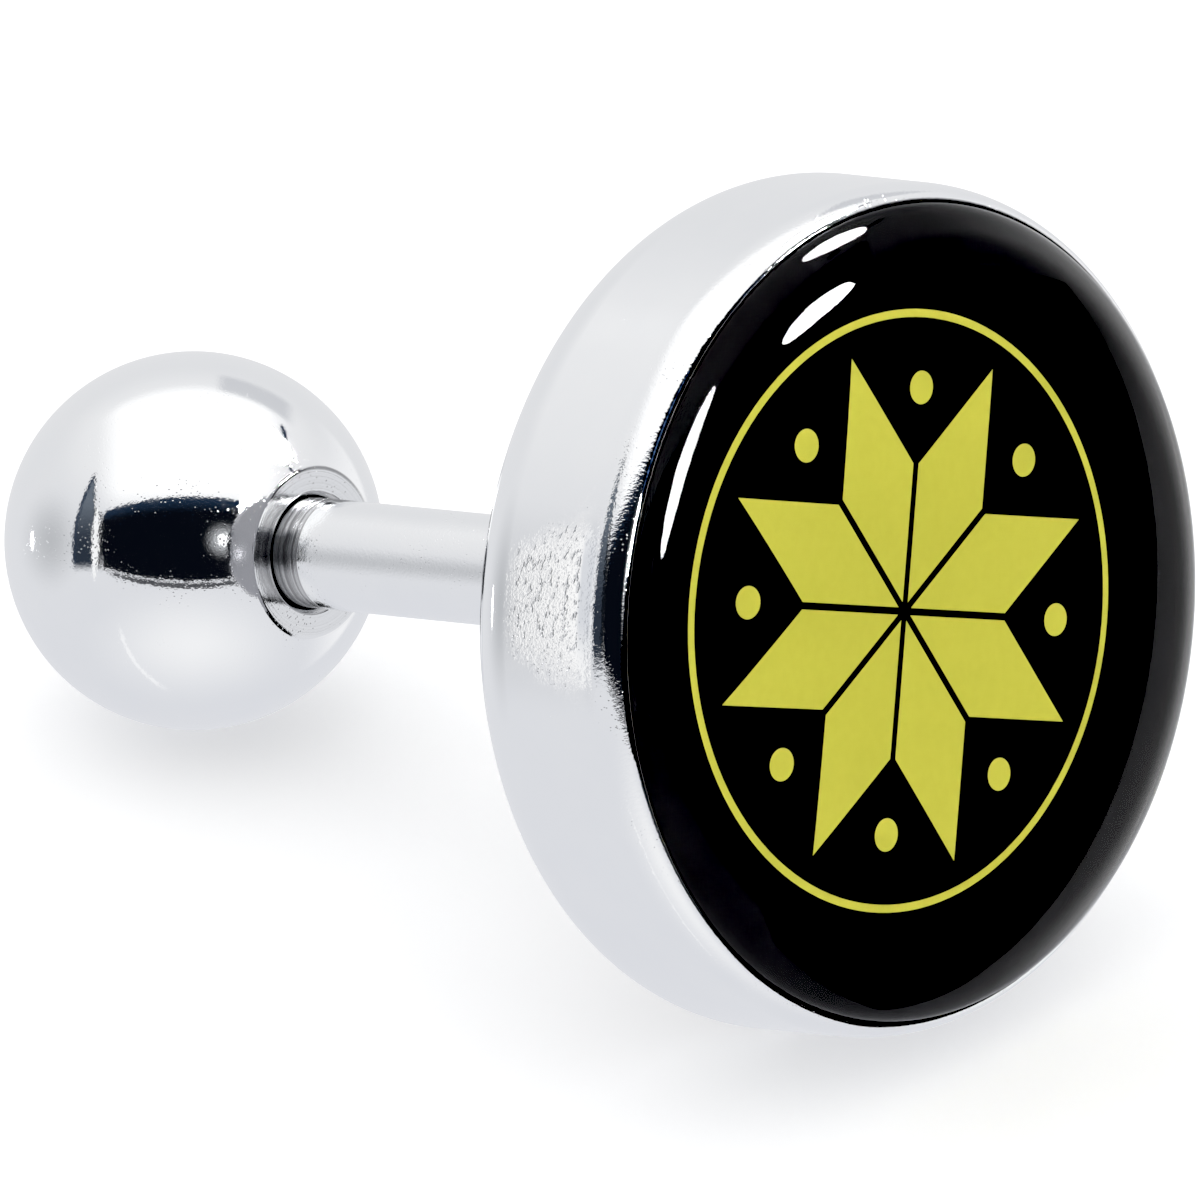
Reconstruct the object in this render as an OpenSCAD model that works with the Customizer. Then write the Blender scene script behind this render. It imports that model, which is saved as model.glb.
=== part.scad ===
// A tragus stud: a straight post with a round cup soldered to one end, and a ball that screws on the other.
// The cup holds a printed disc under a dome of clear resin.
// The stud lies on its side, on the ball and on the rounded back edge of the cup, as it comes to rest by itself.
// The origin is on the surface that it lies on, in the middle of its box, and the cup is towards +X.
// Each piece is drawn along its own axis first, with zero at the ball's centre and the cup above it.

/* [Ball] */
// Diameter of the ball
ball_d = 4; // [3.6:0.1:5]
// Diameter of the flat that is turned round the ball's hole
ball_flat_d = 1.8; // [1.6:0.1:2.2]
// Depth of the hole, from that flat
hole_depth = 2.6; // [2.2:0.1:2.8]
// Play round the post in the hole, on the radius
hole_play = 0.02; // [0.01:0.01:0.05]

/* [Post] */
// Diameter of the post, which is sold as 1.2 mm or 16 gauge
post_d = 1.16; // [0.98:0.02:1.3]
// Free length of the post, from the ball to the cup
post_free = 6.03; // [5:0.01:12]
// Length of the thread at the post's end
thread_len = 2.1; // [1.5:0.1:2.1]
// Pitch of the thread
thread_pitch = 0.25; // [0.2:0.05:0.3]
// Depth of the thread
thread_depth = 0.12; // [0.05:0.01:0.15]
// Radius of the solder round the post's foot
solder_r = 0.15; // [0.05:0.05:0.4]

/* [Cup] */
// Diameter of the cup
cup_d = 8.8; // [7:0.1:12]
// Height of the cup, from its back to the top of its lip
cup_h = 2.36; // [1.8:0.02:4]
// Radius of the rounded edge at the cup's back
back_round = 0.83; // [0.4:0.01:1]
// How much narrower the cup is at its lip than at its back, on the diameter
cup_taper = 0.04; // [0:0.02:0.2]
// Width of the lip round the recess
lip_w = 0.18; // [0.15:0.01:0.5]
// Height of the rounding outside the lip
lip_round_h = 0.38; // [0.2:0.02:0.6]
// Depth of the recess that holds the print and the resin
recess_depth = 0.55; // [0.4:0.05:0.8]

/* [Face] */
// Thickness of the printed disc
print_t = 0.12; // [0.08:0.02:0.2]
// Height of the resin dome above the lip
dome_h = 0.48; // [0.2:0.02:0.8]
// How square the dome's shoulder is, from a plain oval to a flat top
dome_power = 5; // [2:1:8]
// Gap between the pieces of the face
face_gap = 0.01; // [0.01:0.01:0.03]

/* [Hidden] */
$fn = 96;

// Steps in each rounded edge, and in the dome
edge_steps = 9;
dome_steps = 18;
// Overlap where one shape is cut from another
cut = 0.1;
// The hole's mouth and the post's tip have small chamfers
mouth_chamfer = 0.05;
tip_chamfer = 0.12;
// The drill leaves a cone of this half angle at the hole's end
drill_half_angle = 59;
// Plain length of the post inside the ball's mouth, above the thread
plain_in_ball = 0.15;
// Turns about the long axis, so that each round piece lies on a flat of its outline and not on a corner
ball_turn = 4;
stud_turn = 2.73;

ball_r = ball_d / 2;
post_r = post_d / 2;
hole_r = post_r + hole_play;
cup_r = cup_d / 2;
recess_r = cup_r - cup_taper / 2 - lip_w;
face_r = recess_r - face_gap;

// Heights along the stud's axis, from the ball's centre
flat_at = sqrt(pow(ball_r, 2) - pow(ball_flat_d / 2, 2));
hole_end = flat_at - hole_depth;
thread_top = flat_at - plain_in_ball;
tip_at = thread_top - thread_len;
back_at = ball_r + post_free;
lip_at = back_at + cup_h;
recess_at = lip_at - recess_depth;
print_at = recess_at + face_gap;
resin_at = print_at + print_t + face_gap;

// Points on an oval arc about (x, y), from one angle to another
function arc(x, y, rx, ry, from, to, steps) =
    [for (k = [0:steps]) let (a = from + (to - from) * k / steps) [x + rx * cos(a), y + ry * sin(a)]];

// The dome's outline above the lip, from its edge to its middle
function dome_curve() =
    [for (k = [0:dome_steps]) let (a = 90 * k / dome_steps)
        [face_r * pow(cos(a), 2 / dome_power), lip_at + dome_h * sin(a)]];

// The cup's outline, from its rounded back edge up to the lip
function cup_curve() = concat(
    arc(cup_r - back_round, back_at + back_round, back_round, back_round, -90, 0, edge_steps),
    arc(recess_r, lip_at - lip_round_h, lip_w, lip_round_h, 0, 90, edge_steps));

// The slope at which the stud lies, with the ball and the cup's rounded edge on one flat surface
edge_out = cup_r - back_round;
edge_up = back_at + back_round;
edge_from_ball = sqrt(pow(edge_out, 2) + pow(edge_up, 2));
incline = atan2(edge_out, edge_up) - asin((ball_r - back_round) / edge_from_ball);

// How far the cup and the dome reach along X from the ball's centre
reach = max([for (p = concat(cup_curve(), dome_curve())) p[1] * cos(incline) + p[0] * sin(incline)]);

// Lays a piece down from its own axis to where it rests
module lie_down(turn = stud_turn) {
    translate([(ball_r - reach) / 2, 0, ball_r]) rotate([0, 90 - incline, 0]) rotate([0, 0, turn]) children();
}

// The thread, as a row of ring grooves below the plain post, with a chamfered tip
module thread() {
    turns = floor((thread_len - tip_chamfer) / thread_pitch);
    root_r = post_r - thread_depth;
    crests = [for (k = [0:turns - 1], half = [0, 1])
        [half == 0 ? root_r : post_r, thread_top - (k + half / 2) * thread_pitch]];
    last_at = thread_top - turns * thread_pitch;
    rotate_extrude() polygon(concat(
        [[0, thread_top + cut], [root_r, thread_top + cut]],
        crests,
        [[root_r, last_at], [root_r, tip_at + tip_chamfer], [root_r - tip_chamfer, tip_at], [0, tip_at]]));
}

// The steel cup, with the post soldered to the middle of its back
module cup_and_post() {
    color("silver") lie_down() {
        rotate_extrude() polygon(concat(
            [[0, recess_at], [0, back_at]],
            cup_curve(),
            [[recess_r, recess_at]]));
        rotate_extrude() polygon(concat(
            [[0, back_at + cut], [0, back_at - solder_r]],
            arc(post_r + solder_r, back_at - solder_r, solder_r, solder_r, 180, 90, edge_steps),
            [[post_r + solder_r, back_at + cut]]));
        translate([0, 0, thread_top]) cylinder(r = post_r, h = back_at + cut - thread_top);
        thread();
    }
}

// The printed disc at the bottom of the recess
module picture_disc() {
    color([0.08, 0.08, 0.08]) lie_down() translate([0, 0, print_at]) cylinder(r = face_r, h = print_t);
}

// The clear resin over it, which fills the recess and stands above the lip as a dome
module resin_dome() {
    color([0.9, 0.95, 1, 0.35]) lie_down()
        rotate_extrude() polygon(concat([[0, resin_at], [face_r, resin_at]], dome_curve()));
}

// The steel ball, with a flat round its hole
module screw_ball() {
    drill_cone = hole_r / tan(drill_half_angle);
    color("silver") lie_down(ball_turn) difference() {
        sphere(d = ball_d);
        translate([0, 0, flat_at]) cylinder(d = ball_d, h = ball_r);
        translate([0, 0, hole_end]) cylinder(r = hole_r, h = hole_depth + cut);
        translate([0, 0, hole_end - drill_cone])
            cylinder(r1 = 0, r2 = hole_r, h = drill_cone);
        translate([0, 0, flat_at - mouth_chamfer])
            cylinder(r1 = hole_r, r2 = hole_r + mouth_chamfer + cut, h = mouth_chamfer + cut);
    }
}

cup_and_post();
picture_disc();
resin_dome();
screw_ball();
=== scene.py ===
"""A tragus stud on a pale floor: polished steel, a printed disc and a dome of clear resin.

Every piece is turned or cut along the stud's own axis first, in millimetres, with zero at
the ball's centre and the cup above it, and is then laid down where the frame has it.
"""

import math

import bpy
import numpy as np
from mathutils import Matrix, Vector, geometry


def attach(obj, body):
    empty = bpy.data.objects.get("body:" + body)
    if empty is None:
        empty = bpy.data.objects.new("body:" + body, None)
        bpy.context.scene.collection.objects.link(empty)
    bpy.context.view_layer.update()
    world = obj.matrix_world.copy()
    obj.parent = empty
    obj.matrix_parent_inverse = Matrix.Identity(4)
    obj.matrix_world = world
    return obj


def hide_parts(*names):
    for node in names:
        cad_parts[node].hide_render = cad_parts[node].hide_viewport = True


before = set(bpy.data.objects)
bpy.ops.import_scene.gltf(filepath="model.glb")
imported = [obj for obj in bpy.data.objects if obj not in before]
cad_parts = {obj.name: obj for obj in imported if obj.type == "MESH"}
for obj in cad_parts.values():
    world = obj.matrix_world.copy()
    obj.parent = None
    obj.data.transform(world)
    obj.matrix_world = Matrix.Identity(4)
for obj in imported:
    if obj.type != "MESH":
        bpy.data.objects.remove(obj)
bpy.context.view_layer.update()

MM = 0.001

# Ball, post and cup, in millimetres, as the frame has them
BALL_R = 2.0
FLAT_R = 0.9
HOLE_DEPTH = 2.6
POST_R = 0.58
HOLE_R = 0.60
POST_FREE = 6.03
THREAD_LEN = 2.1
THREAD_PITCH = 0.25
THREAD_DEPTH = 0.12
PLAIN_IN_BALL = 0.15
SOLDER_R = 0.15
CUP_R = 4.4
CUP_H = 2.36
BACK_ROUND = 0.83
LIP_R = 4.38
LIP_W = 0.18
LIP_ROUND_H = 0.38
LIP_EDGE = 0.014
RECESS_R = 4.20
RECESS_DEPTH = 0.55
FACE_R = 4.19
PRINT_T = 0.12
FACE_GAP = 0.01
RESIN_WETS = 0.02
DOME_H = 0.48
DOME_POWER = 5
MOUTH_CHAMFER = 0.05
TIP_CHAMFER = 0.12
DRILL_HALF_ANGLE = math.radians(59)

# The print's ornament, in millimetres
LOZENGE_SIDE = 1.42
LOZENGE_GAP = 0.075
DOT_AT = 2.28
DOT_R = 0.17
RING_FROM = 2.98
RING_TO = 3.06

# Steps round each outline, and along the thread
PIECE_SIDES = 256
RIM_SIDES = 192
RING_SIDES = 128
DOT_SIDES = 32
LAMP_SIDES = 48
THREAD_ROWS = 84

FLAT_AT = math.sqrt(BALL_R ** 2 - FLAT_R ** 2)
THREAD_TOP = FLAT_AT - PLAIN_IN_BALL
TIP_AT = THREAD_TOP - THREAD_LEN
BACK_AT = BALL_R + POST_FREE
LIP_AT = BACK_AT + CUP_H
RECESS_AT = LIP_AT - RECESS_DEPTH
PRINT_AT = RECESS_AT + FACE_GAP
PRINT_TOP = PRINT_AT + PRINT_T

# The slope at which the stud lies on its ball and on the cup's rounded back edge
EDGE_OUT, EDGE_UP = CUP_R - BACK_ROUND, BACK_AT + BACK_ROUND
INCLINE = math.atan2(EDGE_OUT, EDGE_UP) - math.asin((BALL_R - BACK_ROUND) / math.hypot(EDGE_OUT, EDGE_UP))
ALONG = Vector((math.cos(INCLINE), 0, math.sin(INCLINE)))
DOWN = Vector((math.sin(INCLINE), 0, -math.cos(INCLINE)))
ACROSS = Vector((0, 1, 0))

RESIN_IOR = 1.25
COAT_IOR = 1.38
FLOOR_GLOW = 0.20
# Each ink's colour, and its colour in the darker spots of the grain
BLACK_INK = (0.0030, 0.0030, 0.0034), (0.0012, 0.0012, 0.0014)
YELLOW_INK = (0.665, 0.637, 0.100), (0.645, 0.617, 0.095)
# The picture's darkest tone, as a share of white, is taken as black
BLACK_LEVEL = 0.018

CAMERA_TURN = math.radians(41.86)
CAMERA_UP = math.radians(27.73)
# The ball's centre as the camera sees it, in millimetres: to the right, downwards and away
BALL_SEEN_AT = (-4.28412556, -0.62659955, 210.97809541)
LENS, SENSOR = 600, 36

# The set's sizes, in metres
FLOOR_HALF = 1.5
TENT_R = 1.0
LAMP_FAR = 0.25
CARD_LEFT = 0.020
FLAG_RIGHT = 0.012

RIGHT = Vector((math.cos(CAMERA_TURN), math.sin(CAMERA_TURN), 0))
LOOK = Vector((-math.sin(CAMERA_TURN) * math.cos(CAMERA_UP), math.cos(CAMERA_TURN) * math.cos(CAMERA_UP),
               -math.sin(CAMERA_UP)))
UP = RIGHT.cross(LOOK)


# Outlines, as (radius, height along the axis)

def arc(centre, radii, start, end, steps):
    """Points on an oval arc, with its angles in degrees."""
    turn = np.radians(np.linspace(start, end, steps + 1))
    return [(centre[0] + radii[0] * math.cos(t), centre[1] + radii[1] * math.sin(t)) for t in turn]


def circle(radius, sides, centre=(0, 0)):
    """Points round a circle."""
    turn = np.linspace(0, 2 * math.pi, sides + 1)[:-1]
    return [(centre[0] + radius * math.cos(t), centre[1] + radius * math.sin(t)) for t in turn]


def softened(points, sizes):
    """The outline with the corners named in sizes, by their place in it, rounded off by that much."""
    out = []
    for i, p in enumerate(points):
        if i not in sizes:
            out.append(p)
            continue
        here = np.array(p)
        ends = []
        for q in (points[i - 1], points[i + 1]):
            leg = np.array(q) - here
            length = np.linalg.norm(leg)
            ends.append(here + leg / length * min(sizes[i], 0.45 * length))
        for t in np.linspace(0, 1, 5):
            out.append(tuple(ends[0] * (1 - t) ** 2 + 2 * here * t * (1 - t) + ends[1] * t ** 2))
    return out


def dome_outline(steps=44):
    """The dome above the lip, from its edge to its middle: a shoulder and a nearly flat top."""
    out = []
    for turn in np.radians(np.linspace(0, 90, steps + 1)):
        out.append((FACE_R * max(math.cos(turn), 0) ** (2 / DOME_POWER), LIP_AT + DOME_H * math.sin(turn)))
    out[-1] = (0, out[-1][1])
    return out


def laid_down():
    """The matrix that lays a piece from its own axis to where it rests in the frame.

    The outline has the source's steps, so that it reaches as far as the frame's solids do.
    """
    outline = arc((CUP_R - BACK_ROUND, BACK_AT + BACK_ROUND), (BACK_ROUND, BACK_ROUND), -90, 0, 9)
    outline += arc((RECESS_R, LIP_AT - LIP_ROUND_H), (LIP_W, LIP_ROUND_H), 0, 90, 9) + dome_outline(18)
    reach = max(s * math.cos(INCLINE) + r * math.sin(INCLINE) for r, s in outline)
    at = Vector(((BALL_R - reach) / 2, 0, BALL_R)) * MM
    turned = Matrix((DOWN, ACROSS, ALONG)).transposed().to_4x4()
    return Matrix.Translation(at) @ turned


LAID = laid_down()
BALL_CENTRE = LAID.translation.copy()


def laid(points):
    """Points in millimetres from a piece's own axis, as places in the frame."""
    return [tuple(LAID @ (Vector(p) * MM)) for p in points]


def turned_piece(name, outline, radius_at=None):
    """A solid of revolution about the axis. radius_at(radius, height, angle) may give it a thread."""
    sides = PIECE_SIDES
    angles = np.arange(sides) * 2 * math.pi / sides
    rows, verts = [], []
    for r, s in outline:
        if r < 1e-6:
            rows.append([len(verts)] * sides)
            verts.append((0, 0, s))
            continue
        rows.append(list(range(len(verts), len(verts) + sides)))
        for a in angles:
            q = radius_at(r, s, a) if radius_at else r
            verts.append((q * math.cos(a), q * math.sin(a), s))
    faces = []
    for low, high in zip(rows, rows[1:]):
        for j in range(sides):
            k = (j + 1) % sides
            face = []
            for v in (low[j], low[k], high[k], high[j]):
                if v not in face:
                    face.append(v)
            if len(face) > 2:
                faces.append(face)
    mesh = bpy.data.meshes.new(name)
    mesh.from_pydata(laid(verts), [], faces)
    mesh.update()
    mesh.shade_smooth()
    mesh.normals_split_custom_set_from_vertices(row_normals(np.array(verts), rows))
    return place(name, mesh)


def row_normals(points, rows):
    """One normal to each vertex. The longer side at a vertex counts for more, so flats stay flat."""
    grid = points[np.array(rows)]
    up = np.zeros_like(grid)
    up[1:-1] = grid[2:] - grid[:-2]
    up[0], up[-1] = grid[1] - grid[0], grid[-1] - grid[-2]
    round_it = np.roll(grid, -1, axis=1) - np.roll(grid, 1, axis=1)
    normal = np.cross(round_it, up)
    out = np.zeros_like(points)
    for i, row in enumerate(rows):
        if row[0] == row[-1]:
            out[row[0]] = (0, 0, -1) if i == 0 else (0, 0, 1)
        else:
            out[row] = normal[i]
    out = out @ np.array(LAID.to_3x3()).T
    length = np.linalg.norm(out, axis=1)
    length[length < 1e-12] = 1
    return [tuple(n) for n in out / length[:, None]]


def place(name, data):
    """A new object in the scene, with that mesh, light or camera."""
    made = bpy.data.objects.new(name, data)
    bpy.context.scene.collection.objects.link(made)
    return made


# Node trees

class Wire:
    """A node's output. Arithmetic on wires and numbers adds Math nodes."""

    def __init__(self, tree, socket):
        self.tree, self.socket = tree, socket

    def __add__(self, other):
        return self.tree.math("ADD", self, other)

    def __sub__(self, other):
        return self.tree.math("SUBTRACT", self, other)

    def __rsub__(self, other):
        return self.tree.math("SUBTRACT", other, self)

    def __mul__(self, other):
        return self.tree.math("MULTIPLY", self, other)

    def __truediv__(self, other):
        return self.tree.math("DIVIDE", self, other)

    def __rtruediv__(self, other):
        return self.tree.math("DIVIDE", other, self)

    def __pow__(self, other):
        return self.tree.math("POWER", self, other)

    def __abs__(self):
        return self.tree.math("ABSOLUTE", self)

    __radd__, __rmul__ = __add__, __mul__


class Tree:
    """A node tree. node() adds any node, and the rest are the few that are used most."""

    def __init__(self, owner):
        owner.use_nodes = True
        self.nodes, self.links = owner.node_tree.nodes, owner.node_tree.links
        self.nodes.clear()

    def node(self, kind, settings=None, sockets=None, out=0):
        """Any node. Its settings are set first, and then the values or links of its sockets."""
        made = self.nodes.new(kind)
        for key, value in (settings or {}).items():
            setattr(made, key, value)
        for key, value in (sockets or {}).items():
            if isinstance(value, Wire):
                self.links.new(value.socket, made.inputs[key])
            elif value is not None:
                made.inputs[key].default_value = value
        return Wire(self, made.outputs[out]) if len(made.outputs) else None

    def math(self, operation, a, b=None):
        return self.node("ShaderNodeMath", {"operation": operation}, {0: a, 1: b})

    def own(self):
        """The piece's own coordinates, in metres."""
        return self.node("ShaderNodeTexCoord", out="Object")

    def from_ball(self, own):
        """The same coordinates, counted from the ball's centre."""
        return self.node("ShaderNodeVectorMath", {"operation": "SUBTRACT"}, {0: own, 1: tuple(BALL_CENTRE)})

    def pair(self, x, y):
        """Two numbers as a place that a noise can read."""
        return self.node("ShaderNodeCombineXYZ", None, {0: x, 1: y})

    def bump(self, height, distance=1e-6, strength=1.0):
        sockets = {"Strength": strength, "Distance": distance, "Height": height}
        return self.node("ShaderNodeBump", None, sockets)

    def mix(self, share, a, b):
        """A mix of two colours."""
        return self.node("ShaderNodeMix", {"data_type": "RGBA"}, {0: share, 6: a, 7: b}, out=2)

    def rise(self, x, start, end, low=0.0, high=1.0):
        """Goes smoothly from low to high as x goes from start to end."""
        settings = {"interpolation_type": "SMOOTHSTEP"}
        return self.node("ShaderNodeMapRange", settings, {0: x, 1: start, 2: end, 3: low, 4: high})

    def dot(self, vector, fixed):
        sockets = {0: vector, 1: tuple(fixed)}
        return self.node("ShaderNodeVectorMath", {"operation": "DOT_PRODUCT"}, sockets, out="Value")

    def window(self, x, low, high, soft):
        """1 where x is between low and high, with soft edges."""
        return self.rise(x, low - soft / 2, low + soft / 2) * self.rise(x, high + soft / 2, high - soft / 2)

    def noise(self, where, scale, detail=2.0, rough=0.5):
        sockets = {"Vector": where, "Scale": scale, "Detail": detail, "Roughness": rough}
        return self.node("ShaderNodeTexNoise", None, sockets)

    def finish(self, shader, kind="ShaderNodeOutputMaterial"):
        self.node(kind, None, {"Surface": shader})


def material(name):
    """A new material and its empty node tree."""
    made = bpy.data.materials.new(name)
    return made, Tree(made)


# Finishes. Each reads the piece's own coordinates, in metres

# The scuffed and highlit side of the cup, as an angle about the stud's axis, and the direction a quarter turn
# above it.
# The angle is set so that the wear shows where the photograph has it. Some of it may be a reflection there.
# The patch is partly scuffs, partly a painted highlight
HIGHLIT_SCUFFS_TURN = math.radians(-114.3)
HIGHLIT_SCUFFS_SIDE = DOWN * math.cos(HIGHLIT_SCUFFS_TURN) + ACROSS * math.sin(HIGHLIT_SCUFFS_TURN)
ABOVE = HIGHLIT_SCUFFS_SIDE.cross(ALONG)


def highlit_scuffed_patch(t, high_on, wall_up, ragged):
    """1 on the patch of the wall that is scuffed and has a painted highlight, which widens towards the lip,
    with a ragged edge.
    """
    off = abs(high_on + 0.06) / (t.math("MAXIMUM", wall_up, 0.0) * 0.13 + 0.09)
    return t.rise(off + ragged, 1.35, 0.75) * t.window(wall_up + ragged * 0.2, 0.04, 0.86, 0.22)


def lip_edge_shade(t, z, high_on, strokes):
    """1 where the lip's inner edge is darkened by painted shade, which is least where a bright line is left
    of it.
    """
    below = LIP_AT - z * (1 / MM)
    reach = t.rise(high_on, 0.17, 0.28, 0.0115, 0.036) - t.rise(high_on, 0.35, 0.85, 0.0, 0.033)
    reach = reach + t.window(high_on, -0.42, -0.13, 0.12) * 0.02 - t.rise(high_on, -0.3, -0.5, 0.0, 0.009)
    return t.rise(below + (strokes - 0.5) * reach * 1.4, reach, reach * 0.8)


def polished_steel(name, haze=0.0, grain_size=0.5, pit_depth=1.4, worn_lip_and_painted_light=False, turned=None):
    """Mirror-polished surgical steel with fine grain and pits.

    The lip and a patch of the wall may be worn; with them come painted shade on the lip's inner edge, the
    cup's back and the wall under the lip, and a painted highlight on the patch. turned is where the lathe's
    rings show: from one height on the axis to another, and how dull they are.
    """
    made, t = material(name)
    own = t.own()
    from_ball = t.from_ball(own)
    x, y, z = (t.dot(from_ball, axis) for axis in (DOWN, ACROSS, ALONG))
    radius = (x * x + y * y) ** 0.5
    cells = t.node("ShaderNodeTexVoronoi", None, {"Vector": own, "Scale": 21000, "Randomness": 1.0})
    grain = t.noise(own, 30000, 1.0, 0.6)
    clouds = t.noise(own, 1700, 2.0, 0.6)
    rough = t.rise(clouds, 0.35, 0.75, 0.035 + haze, 0.075 + haze)
    tint = t.mix(clouds, (0.91, 0.92, 0.935, 1), (0.94, 0.945, 0.95, 1))
    pits = t.rise(cells, 0.24, 0.04) * t.rise(clouds, 0.40, 0.70)
    if worn_lip_and_painted_light:
        # How far up the straight wall, as a share of it, and how far towards ABOVE, as a share of the radius
        wall_up = (z - (BACK_AT + BACK_ROUND) * MM) * (1 / ((CUP_H - BACK_ROUND - LIP_ROUND_H) * MM))
        high_on = t.dot(from_ball, ABOVE) / radius
        ragged = t.noise(own, 9000, 3.0, 0.7) * 0.8 - 0.4
        patch = highlit_scuffed_patch(t, high_on, wall_up, ragged)
        lip = t.rise(z, (LIP_AT - 0.50) * MM, (LIP_AT - 0.30) * MM)
        # Strokes across the lip, and longer scuffs across the patch
        round_it = t.math("ARCTAN2", y, x) * (CUP_R * MM)
        strokes = t.noise(t.pair(round_it * 26000 + z * 7000, z * 14000), 1, 2.0, 0.6)
        scuffs = t.rise(t.noise(t.pair(round_it * 8000 + z * 6000, z * 14000), 1, 2.0, 0.6), 0.56, 0.68)
        fine = t.noise(own, 52000, 1.0, 0.6)
        torn = lip * t.window(high_on, -0.80, 0.45, 0.4) * t.rise(high_on, 0.02, 0.25, 1.7, 3.2)
        height = strokes * torn + grain * (lip + patch * 0.8 + 0.15)
        height = height + fine * patch * 0.7 + scuffs * patch * 2.6
        height = height - pits * (patch * 8.0 + lip * 3.0 + 0.1)
        # The cup's back is duller, and painted shade makes it darker in its lower half
        on_back = t.rise(z, (BACK_AT + 0.06) * MM, (BACK_AT + 0.02) * MM)
        rough = rough * (1.0 - lip) + lip * 0.030 + on_back * 0.10 + patch * 0.02
        back_painted_shade = t.mix(t.rise(high_on * radius, 0.0, 4.0 * MM), (0.61, 0.61, 0.62, 1), (1.0, 1.0, 1.0, 1))
        # Painted highlight: the patch's colour is whitened
        tint = t.mix(on_back, t.mix(patch, tint, (1.0, 1.0, 1.0, 1)), back_painted_shade)
        # Between the patch and the lip the wall is smooth, and painted shade makes it grey
        smooth = t.window(wall_up + ragged * 0.03, 0.87, 1.03, 0.05) * t.window(high_on, -0.15, 0.09, 0.12)
        tint = t.mix(smooth, tint, (0.70, 0.72, 0.76, 1))
        # Painted shade: the lip's inner edge is tinted nearly black, with a grain in it
        lip_shade_grain = t.rise(strokes, 0.40, 0.65)
        lip_shade_tint = t.mix(lip_shade_grain, (0.0001, 0.00015, 0.0003, 1), (0.0008, 0.0014, 0.0028, 1))
        tint = t.mix(lip_edge_shade(t, z, high_on, strokes), tint, lip_shade_tint)
        # Painted shade: the lip's softened inner corner is tinted darker
        inner = t.rise(radius, (RECESS_R + LIP_EDGE) * MM, (RECESS_R + LIP_EDGE * 0.8) * MM)
        tint = t.mix(inner, tint, (0.42, 0.42, 0.44, 1))
    else:
        height = grain * grain_size - pits * pit_depth
    if turned is not None:
        start, end, dull = turned
        rings = t.noise(t.pair(radius, z), 30000, 3.0, 0.7)
        on_rings = t.window(z, start * MM, end * MM, 0.02 * MM)
        height = height + rings * on_rings * (1.2 + 4.8 * dull)
        rough = rough + on_rings * (dull * 0.12)
        tint = t.mix(on_rings * t.rise(rings, 0.3, 0.6, 1.0, 0.5) * dull, tint, (0.30, 0.30, 0.31, 1))
    t.finish(t.node("ShaderNodeBsdfPrincipled", None, {
        "Base Color": tint, "Metallic": 1.0, "Roughness": rough, "Normal": t.bump(height)}))
    return made


def print_ink(name, colour, darker):
    """Ink on a matt card: a fine grain in the colour and the surface."""
    made, t = material(name)
    grain = t.noise(t.own(), 9000, 3.0, 0.6)
    t.finish(t.node("ShaderNodeBsdfPrincipled", None, {
        "Base Color": t.mix(t.rise(grain, 0.3, 0.7), (*darker, 1), (*colour, 1)), "Roughness": 0.6,
        "Specular IOR Level": 0.0, "Normal": t.bump(grain, 2e-6, 0.5)}))
    return made


def clear_resin(name):
    """Poured resin: clear, glossy, and very slightly wavy where it set.

    It has a second clear coat on the shoulder's side away from the scuffs, a painted sheen where the
    photograph is brighter.
    """
    made, t = material(name)
    own = t.own()
    from_ball = t.from_ball(own)
    near, high = t.dot(from_ball, HIGHLIT_SCUFFS_SIDE), t.dot(from_ball, ABOVE)
    radius = (near * near + high * high) ** 0.5
    far_side = t.rise(near / radius, 0.25, -0.35) * t.rise(high / radius, -0.96, -0.7)
    painted_sheen = t.rise(radius, 3.66 * MM, 4.00 * MM) * far_side * 0.95
    waves = t.noise(own, 420) * 0.9
    rough = t.rise(t.noise(own, 2200), 0.4, 0.7, 0.0, 0.004)
    t.finish(t.node("ShaderNodeBsdfPrincipled", None, {
        "Base Color": (1, 1, 1, 1), "Roughness": rough, "IOR": RESIN_IOR, "Transmission Weight": 1.0,
        "Coat Weight": painted_sheen, "Coat Roughness": 0.0, "Coat IOR": COAT_IOR, "Normal": t.bump(waves)}))
    return made


def pale_floor(name):
    """The top of a light table: pale, matt, and glowing a little by itself, so that shadows stay faint."""
    made, t = material(name)
    grain = t.noise(t.own(), 700, 1.0)
    t.finish(t.node("ShaderNodeBsdfPrincipled", None, {
        "Base Color": t.mix(grain, (0.93, 0.93, 0.935, 1), (0.95, 0.95, 0.95, 1)), "Roughness": 1.0,
        "Specular IOR Level": 0.0, "Emission Color": (1, 1, 1, 1), "Emission Strength": FLOOR_GLOW}))
    return made


# The pieces

def make_ball():
    """The ball, with the flat that is turned round its hole."""
    edge = math.degrees(math.asin(FLAT_AT / BALL_R))
    hole_end = FLAT_AT - HOLE_DEPTH
    outer = arc((0, 0), (BALL_R, BALL_R), -90, edge, 110)
    outer[0] = (0, -BALL_R)
    mouth = [(HOLE_R + MOUTH_CHAMFER, FLAT_AT), (HOLE_R, FLAT_AT - MOUTH_CHAMFER), (HOLE_R, hole_end),
             (0, hole_end - HOLE_R / math.tan(DRILL_HALF_ANGLE))]
    last = len(outer) - 1
    outline = softened(outer + mouth, {last: 0.03, last + 1: 0.012, last + 2: 0.012, last + 3: 0.05})
    ball = turned_piece("polished_ball", outline)
    ball.data.materials.append(polished_steel("ball steel", turned=(FLAT_AT - 0.01, FLAT_AT + 0.02, 0.08)))
    return ball


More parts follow.
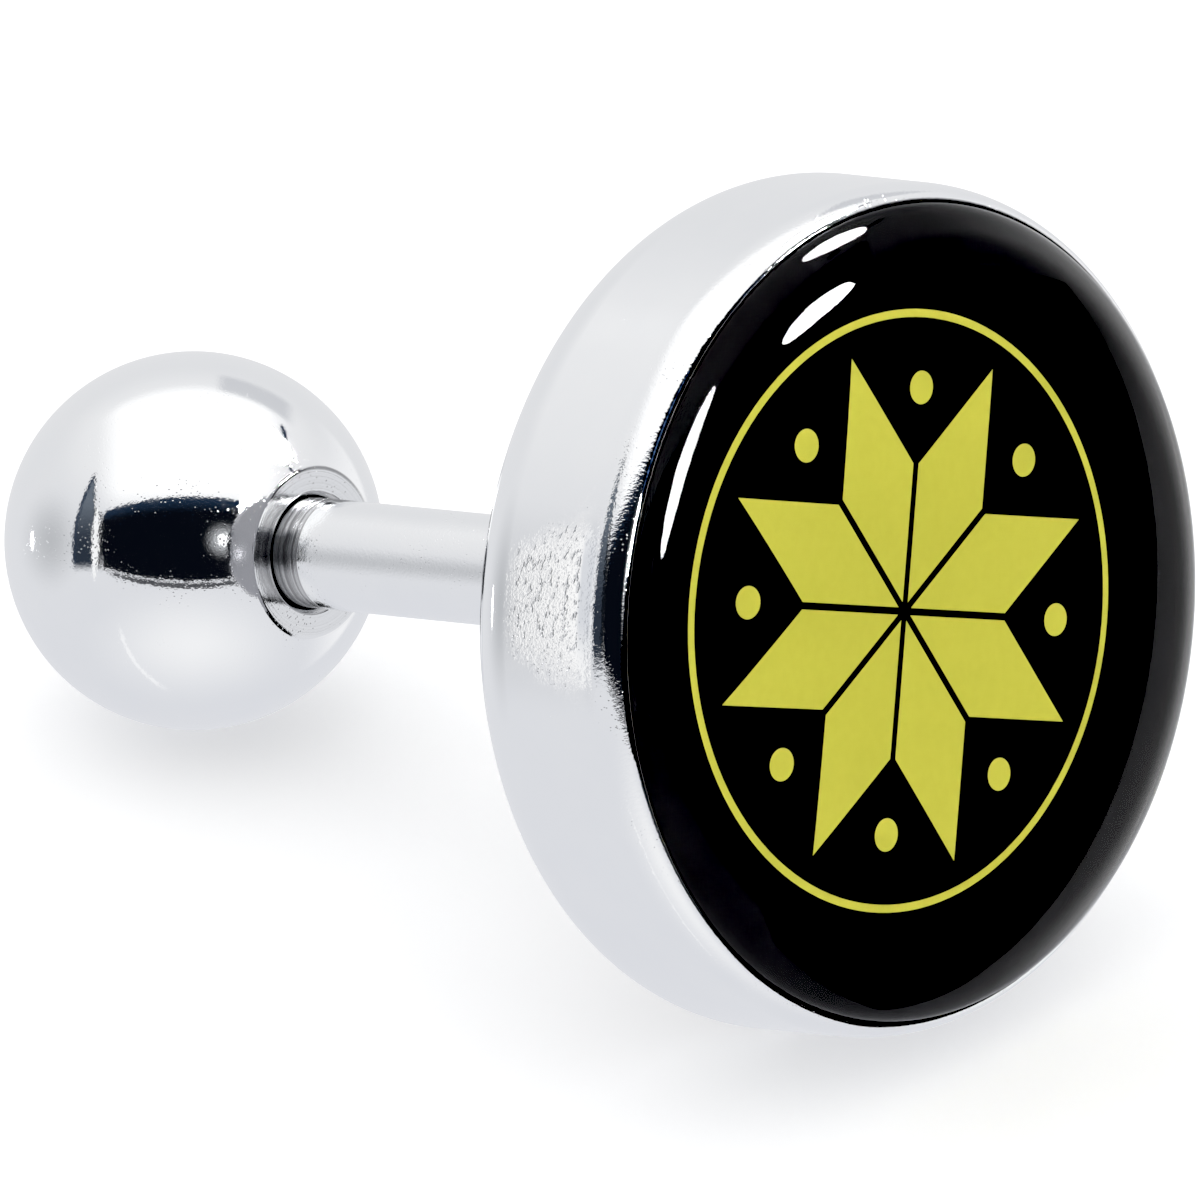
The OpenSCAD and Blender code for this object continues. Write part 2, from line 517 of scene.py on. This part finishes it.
def make_cup_and_post():
    """The cup and the post that is soldered to its back, with the thread on the post's end."""
    root = POST_R - THREAD_DEPTH
    thread_at = TIP_AT + TIP_CHAMFER
    tip = [(0, TIP_AT), (root - TIP_CHAMFER, TIP_AT), (root, thread_at)]
    thread_rows = [(root, s) for s in np.linspace(thread_at + 0.01, THREAD_TOP, THREAD_ROWS)]
    shaft = [(POST_R, THREAD_TOP + 0.02), (POST_R, BACK_AT - SOLDER_R)]
    foot = arc((POST_R + SOLDER_R, BACK_AT - SOLDER_R), (SOLDER_R, SOLDER_R), 180, 90, 8)[1:]
    back = arc((CUP_R - BACK_ROUND, BACK_AT + BACK_ROUND), (BACK_ROUND, BACK_ROUND), -90, 0, 24)
    lip = arc((RECESS_R, LIP_AT - LIP_ROUND_H), (LIP_R - RECESS_R, LIP_ROUND_H), 0, 90, 20)
    recess = [(RECESS_R, RECESS_AT), (0, RECESS_AT)]
    outline = tip + thread_rows + shaft + foot + back + lip + recess
    edge = len(outline) - 3
    outline = softened(outline, {edge: LIP_EDGE})

    def radius_at(r, s, angle):
        """The thread's blunt crests, which rise from nothing at the tip and run out into the plain post."""
        if not thread_at + 0.005 < s <= THREAD_TOP + 0.001:
            return r
        turn = (s / THREAD_PITCH + angle / (2 * math.pi)) % 1
        crest = min(1, max(0, 1.6 * (1 - abs(2 * turn - 1)) - 0.3))
        start = min(1, (s - thread_at) / 0.15)
        run_out = max(0, 1 - (THREAD_TOP - s) / 0.12)
        return root + THREAD_DEPTH * max(crest * start, run_out)

    piece = turned_piece("cup_and_post_steel", outline, radius_at=radius_at)
    piece.data.materials.append(polished_steel("cup steel", haze=0.01, worn_lip_and_painted_light=True))
    piece.data.materials.append(polished_steel("post steel", haze=0.05, grain_size=1.5, pit_depth=2.5,
                                               turned=(FLAT_AT - 0.05, FLAT_AT + 0.32, 1.0)))
    piece.data.materials.append(print_ink("recess painted black", *BLACK_INK))
    # The post has the second material, and the recess's wall the third, a black that paints shade into the
    # recess
    for face in piece.data.polygons:
        away = face.center - BALL_CENTRE
        height = away.dot(ALONG) / MM
        radius = (away - ALONG * away.dot(ALONG)).length / MM
        if height < BACK_AT - SOLDER_R / 2:
            face.material_index = 1
        elif radius < RECESS_R + 0.001 and RECESS_AT - 0.01 < height < LIP_AT - 0.015:
            face.material_index = 2
    return piece


def star_outlines():
    """The print's ornament without its ring: a rosette of eight lozenges, and a dot between each two."""
    shapes = []
    half = math.pi / 8
    shift = LOZENGE_GAP / 2 / math.sin(half)
    out, up = LOZENGE_SIDE * math.cos(half), LOZENGE_SIDE * math.sin(half)
    corners = [(shift, 0), (shift + out, up), (shift + 2 * out, 0), (shift + out, -up)]
    for k in range(8):
        turn = k * math.pi / 4
        c, s = math.cos(turn), math.sin(turn)
        shapes.append([(x * c - y * s, x * s + y * c) for x, y in corners])
        middle = turn + half
        shapes.append(circle(DOT_R, DOT_SIDES, (DOT_AT * math.cos(middle), DOT_AT * math.sin(middle))))
    return shapes


def inside(point, shape):
    """True if the point is in a convex shape whose corners run anticlockwise or clockwise."""
    signs = []
    for (ax, ay), (bx, by) in zip(shape, shape[1:] + shape[:1]):
        signs.append((bx - ax) * (point[1] - ay) - (by - ay) * (point[0] - ax) > 0)
    return all(signs) or not any(signs)


def make_disc():
    """The printed disc. The ornament's outlines are cut into its top, so that each edge stays crisp."""
    shapes = star_outlines()
    rim = circle(FACE_R, RIM_SIDES)
    points, edges = [], []
    for shape in [rim, circle(RING_FROM, RING_SIDES), circle(RING_TO, RING_SIDES), *shapes]:
        first = len(points)
        points += [Vector(p) for p in shape]
        edges += [(first + i, first + (i + 1) % len(shape)) for i in range(len(shape))]
    made = geometry.delaunay_2d_cdt(points, edges, [], 1, 1e-6)
    flat, tris = made[0], made[2]
    verts = [(p.x, p.y, PRINT_TOP) for p in flat]
    faces, inks = [], []
    for tri in tris:
        centre = sum((flat[v] for v in tri), Vector((0, 0))) / len(tri)
        yellow = RING_FROM < centre.length < RING_TO or any(inside(centre, s) for s in shapes)
        faces.append(list(tri))
        inks.append(1 if yellow else 0)
    low = len(verts)
    verts += [(x, y, PRINT_AT) for x, y in rim]
    high = len(verts)
    verts += [(x, y, PRINT_TOP) for x, y in rim]
    count = len(rim)
    for j in range(count):
        k = (j + 1) % count
        faces.append([low + j, low + k, high + k, high + j])
    faces.append([low + j for j in reversed(range(count))])
    inks += [0] * (count + 1)
    mesh = bpy.data.meshes.new("printed_disc")
    mesh.from_pydata(laid(verts), [], faces)
    mesh.materials.append(print_ink("black ink", *BLACK_INK))
    mesh.materials.append(print_ink("yellow ink", *YELLOW_INK))
    for face, ink in zip(mesh.polygons, inks):
        face.material_index = ink
    mesh.update()
    return place("printed_disc", mesh)


def make_dome():
    """The resin. It wets the print, so its underside lies just inside the disc's top."""
    underside = PRINT_TOP - RESIN_WETS
    dome = turned_piece("clear_dome", [(0, underside), (FACE_R, underside)] + dome_outline())
    dome.data.materials.append(clear_resin("clear resin"))
    dome.visible_shadow = False
    return dome


# The set

def make_camera():
    """The camera at the photograph's angle."""
    data = bpy.data.cameras.new("camera")
    data.lens, data.sensor_width = LENS, SENSOR
    data.clip_start, data.clip_end = 0.01, 10
    camera = place("camera", data)
    x, y, z = BALL_SEEN_AT
    at = BALL_CENTRE - (RIGHT * x - UP * y + LOOK * z) * MM
    camera.matrix_world = Matrix.Translation(at) @ Matrix((RIGHT, UP, -LOOK)).transposed().to_4x4()
    bpy.context.scene.camera = camera


def make_floor():
    """The floor that the stud lies on. The gloss sees the tent's pale ground in its place."""
    mesh = bpy.data.meshes.new("floor")
    corners = [(x * FLOOR_HALF, y * FLOOR_HALF, 0) for x, y in ((-1, -1), (1, -1), (1, 1), (-1, 1))]
    mesh.from_pydata(corners, [], [(0, 1, 2, 3)])
    floor = place("floor", mesh)
    mesh.materials.append(pale_floor("pale floor"))
    floor.visible_glossy = False


def toward(side, up):
    """A direction from the stud, in degrees to the right of the camera and above it."""
    a, e = math.radians(side), math.radians(up)
    return RIGHT * (math.sin(a) * math.cos(e)) + UP * math.sin(e) - LOOK * (math.cos(a) * math.cos(e))


def glow(name, points, light):
    """A flat lamp or flag through those points that only the gloss of the metal and the resin shows."""
    mesh = bpy.data.meshes.new(name)
    mesh.from_pydata([tuple(p) for p in points], [], [list(range(len(points)))])
    lamp = place(name, mesh)
    made, t = material(name)
    t.finish(t.node("ShaderNodeEmission", None, {"Color": (*light, 1), "Strength": 1.0}))
    mesh.materials.append(made)
    only_gloss(lamp)


def only_gloss(lamp):
    """Only mirrored rays meet it, and no lamp rays are aimed at it."""
    lamp.visible_camera = lamp.visible_diffuse = lamp.visible_shadow = False
    lamp.active_material.cycles.emission_sampling = "NONE"


def make_lamp(name, side, up, width, height, strength, roll=0.0, seen_from=None):
    """An oval lamp of that size in degrees, in that direction from the lip's middle or from seen_from."""
    out = toward(side, up)
    across = UP.cross(out).normalized()
    high = out.cross(across)
    c, s = math.cos(math.radians(roll)), math.sin(math.radians(roll))
    across, high = across * c + high * s, high * c - across * s
    rx, ry = LAMP_FAR * math.tan(math.radians(width / 2)), LAMP_FAR * math.tan(math.radians(height / 2))
    centre = (seen_from or BALL_CENTRE + ALONG * (LIP_AT * MM)) + out * LAMP_FAR
    outline = [centre + across * (rx * x) + high * (ry * y) for x, y in circle(1, LAMP_SIDES)]
    glow(name, outline, [strength] * 3)


def upright(name, at, corners, light):
    """A card or a flag. Each corner is so far towards the camera and so far up from at, in millimetres."""
    glow(name, [at - LOOK * (near * MM) + UP * (high * MM) for near, high in corners], light)


def make_side_card():
    """A white card left of the ball. The wall mirrors it as a bright patch, and the ball as a thin line."""
    lip_side = ((11.9, 7.2), (13.2, 4.6), (13.3, -2.0), (12.3, -4.6), (10.3, -8.3))
    post_side = ((10.0, -8.0), (10.7, -4.0), (11.05, -1.4), (11.25, 1.6), (11.25, 3.6), (11.4, 6.6))
    upright("side card", BALL_CENTRE - RIGHT * CARD_LEFT, lip_side + post_side, (0.98, 0.98, 0.98))


def make_side_flag():
    """A black flag close to the cup's right, which keeps the face and the dome's low edge black.

    The ball looks past it.
    """
    at = BALL_CENTRE + ALONG * ((LIP_AT + DOME_H) * MM) + RIGHT * FLAG_RIGHT
    outline = ((-5.5, 6.2), (-5.5, -9.0), (-7.4, -19.0), (-1.0, -17.0), (4.0, -14.5), (5.0, -9.0), (5.0, 4.6))
    upright("side flag", at, outline, (0.0, 0.0, 0.0))


def make_tent():
    """The light tent, which only the gloss shows: a pale dome with bright sheets and a dark opening.

    It stays where it is when the camera moves. u and v say where a mirror ball would show each direction in
    the main view: 0 in its middle, 1 at its outline.
    """
    bpy.ops.mesh.primitive_uv_sphere_add(segments=64, ring_count=32, radius=TENT_R, location=BALL_CENTRE)
    tent = bpy.context.object
    tent.name = "light tent"
    tent.data.shade_smooth()
    made, t = material("light tent")
    way = t.node("ShaderNodeVectorMath", {"operation": "NORMALIZE"}, {0: t.own()})
    right, up, back = t.dot(way, RIGHT), t.dot(way, UP), t.dot(way, -LOOK)
    # A little over 2, so that it isn't 0 right behind the stud
    span = (back * 2 + 2.0002) ** 0.5
    u, v = right / span, up / span
    rim = (u * u + v * v) ** 0.5
    side = t.math("ARCTAN2", right, back) * (180 / math.pi)
    rise = t.math("ARCSINE", up) * (180 / math.pi)
    over_x, over_y = right / back, up / back
    in_front = t.rise(back, 0.05, 0.1)

    def spot(at, size, soft=1.0, lean=0.0):
        """1 in the middle of an oval, 0 outside it. It leans to the left by that many degrees."""
        c, s = math.cos(math.radians(lean)), math.sin(math.radians(lean))
        x = ((u - at[0]) * c + (v - at[1]) * s) / size[0]
        y = ((v - at[1]) * c - (u - at[0]) * s) / size[1]
        return t.rise((x * x + y * y) ** 0.5, 1, 1 - soft)

    light = t.mix(t.rise(v, -0.9, 0.7), (0.755, 0.765, 0.80, 1), (0.79, 0.795, 0.81, 1))
    # The pale ground in front, and the bright sheet overhead with a soft border
    light = t.mix(spot((0.0, -0.54), (0.62, 0.36)) * 0.9, light, (0.96, 0.96, 0.965, 1))
    halo = t.rise(abs(u), 0.80, 0.45) * t.rise(rim, 0.93, 0.78) * t.rise(v, 0.1, 0.4)
    light = t.mix(halo * 0.7, light, (0.93, 0.93, 0.935, 1))
    sheet = t.rise(abs(u), 0.52, 0.36) * t.rise(rim, 0.83, 0.77) * t.rise(v, 0.1, 0.3)
    light = t.mix(sheet, light, (1.12, 1.12, 1.12, 1))
    gap = t.window(rim, 0.80, 0.88, 0.03) * t.window(u, 0.13, 0.50, 0.08) * t.rise(v, 0.4, 0.5)
    light = t.mix(gap * 0.8, light, (0.60, 0.61, 0.64, 1))
    edge = ((u - 0.076) ** 2 + (v + 0.37) ** 2) ** 0.5
    thin_arc = t.window(edge, 0.459, 0.475, 0.010) * t.rise(u, -0.12, -0.22) * t.rise(v, -0.42, -0.52)
    light = t.mix(thin_arc * 0.6, light, (1.05, 1.05, 1.05, 1))
    # Two dark clips at the sheet's border
    for at, size, lean in (((0.474, 0.572), (0.013, 0.055), 20), ((0.512, 0.383), (0.010, 0.035), 25)):
        light = t.mix(spot(at, size, 0.3, lean), light, (0.03, 0.045, 0.08, 1))
    # The grey wall at the left, and the bright one beyond the dark side of the room at the right
    light = t.mix(spot((-0.745, 0.0), (0.19, 0.30)), light, (0.53, 0.54, 0.56, 1))
    light = t.mix(t.window(side, 104, 140, 6) * t.window(rise, -32, 26, 24), light, (0.95, 0.95, 0.96, 1))
    # A dark place for the dome's shoulder. On the ball it would lie where the flat is
    light = t.mix(spot((0.72, 0.14), (0.15, 0.22), 0.57) * 0.6, light, (0.02, 0.022, 0.026, 1))
    # The dark strip at the left of the opening, and the dark side of the room at the right
    from_edge = u + 0.631 - (v + 0.05) ** 2 * 0.72
    strip = t.rise(from_edge, -0.004, 0.006) * t.rise(v, -0.17, -0.11) * t.rise(v, 0.37, 0.33)
    strip = strip * t.rise(u - t.rise(v, 0.17, 0.13) * 0.035, -0.505, -0.515)
    shade = t.mix(t.rise(v, -0.02, 0.24), (0.044, 0.053, 0.070, 1), (0.16, 0.185, 0.22, 1))
    shade = t.mix(t.rise(from_edge, 0.022, 0.004), shade, (0.022, 0.036, 0.066, 1))
    shade = t.mix(t.rise(u, -0.520, -0.512), shade, (0.024, 0.026, 0.030, 1))
    light = t.mix(strip, light, shade)
    dark_side = t.window(side, 40, 84, 2) * t.rise(rise, -29, -26)
    dark_side = dark_side * t.rise(side * 0.33 + 5.5 - rise, -1.5, 1.5)
    light = t.mix(dark_side, light, (0.018, 0.020, 0.024, 1))
    # The camera's opening, with a light line and a grey band under it
    across = t.window(over_x, -1.55, 1.05, 0.03) * in_front
    corner = t.rise(over_x, -1.55, -1.38) * 0.05
    light = t.mix(across * t.window(over_y, -0.56, -0.49, 0.012) * t.rise(over_x, -1.4, -1.2), light,
                  (0.085, 0.088, 0.095, 1))
    opening = across * t.rise(over_y + 0.52 - corner, 0.0, 0.02) * t.rise(over_y - 0.44 - corner, 0.02, 0.0)
    fringe = t.mix(t.rise(over_y, 0.30, 0.47), (0.021, 0.022, 0.025, 1), (0.030, 0.045, 0.074, 1))
    light = t.mix(opening, light, fringe)
    light = t.mix(spot((0.163, 0.0), (0.11, 0.11)) * 0.7, light, (0.9, 0.92, 0.95, 1))
    t.finish(t.node("ShaderNodeEmission", None, {"Color": light, "Strength": 1.0}))
    tent.data.materials.append(made)
    only_gloss(tent)


def make_world():
    """The even light that reaches the floor and the print."""
    world = bpy.data.worlds.new("even light")
    bpy.context.scene.world = world
    t = Tree(world)
    t.finish(t.node("ShaderNodeBackground", None, {"Color": (0.97, 0.972, 0.975, 1), "Strength": 1.0}),
             "ShaderNodeOutputWorld")


def make_sun():
    """The broad soft light from above that makes the floor pale and keeps the shadows faint."""
    data = bpy.data.lights.new("soft light", "SUN")
    data.energy, data.angle = 0.35, math.radians(75)
    sun = place("soft light", data)
    sun.matrix_world = Vector((-0.3, -0.35, 1.0)).to_track_quat("Z", "Y").to_matrix().to_4x4()
    sun.visible_glossy = False


ball, cup, disc, dome = make_ball(), make_cup_and_post(), make_disc(), make_dome()
for piece, body, node, slot in (
        (ball, "ball", "screw_ball", "steel"), (cup, "stud", "cup_and_post", "steel"),
        (disc, "stud", "picture_disc", "print"), (dome, "stud", "resin_dome", "resin")):
    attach(piece, body)
    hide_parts(node)

make_camera()
make_floor()
make_world()
make_tent()
make_side_card()
make_side_flag()
make_sun()
make_lamp("lamp at the dome's left", 37, 13.8, 17, 27, 125, roll=-14)
make_lamp("lamp at the dome's shoulder", 78, 13.5, 10, 6.5, 95)
make_lamp("lamp over the dome's edge", 82, 55, 16, 28, 75)
make_lamp("small lamp at the left", -115, 0, 3, 6, 5, seen_from=BALL_CENTRE)
make_lamp("small lamp in the opening", 18.7, 0.3, 6.5, 7.5, 1.2, seen_from=BALL_CENTRE)

view = bpy.context.scene.view_settings
view.view_transform, view.look = "Standard", "None"
view.use_curve_mapping = True
view.curve_mapping.black_level = (BLACK_LEVEL,) * 3
view.curve_mapping.update()
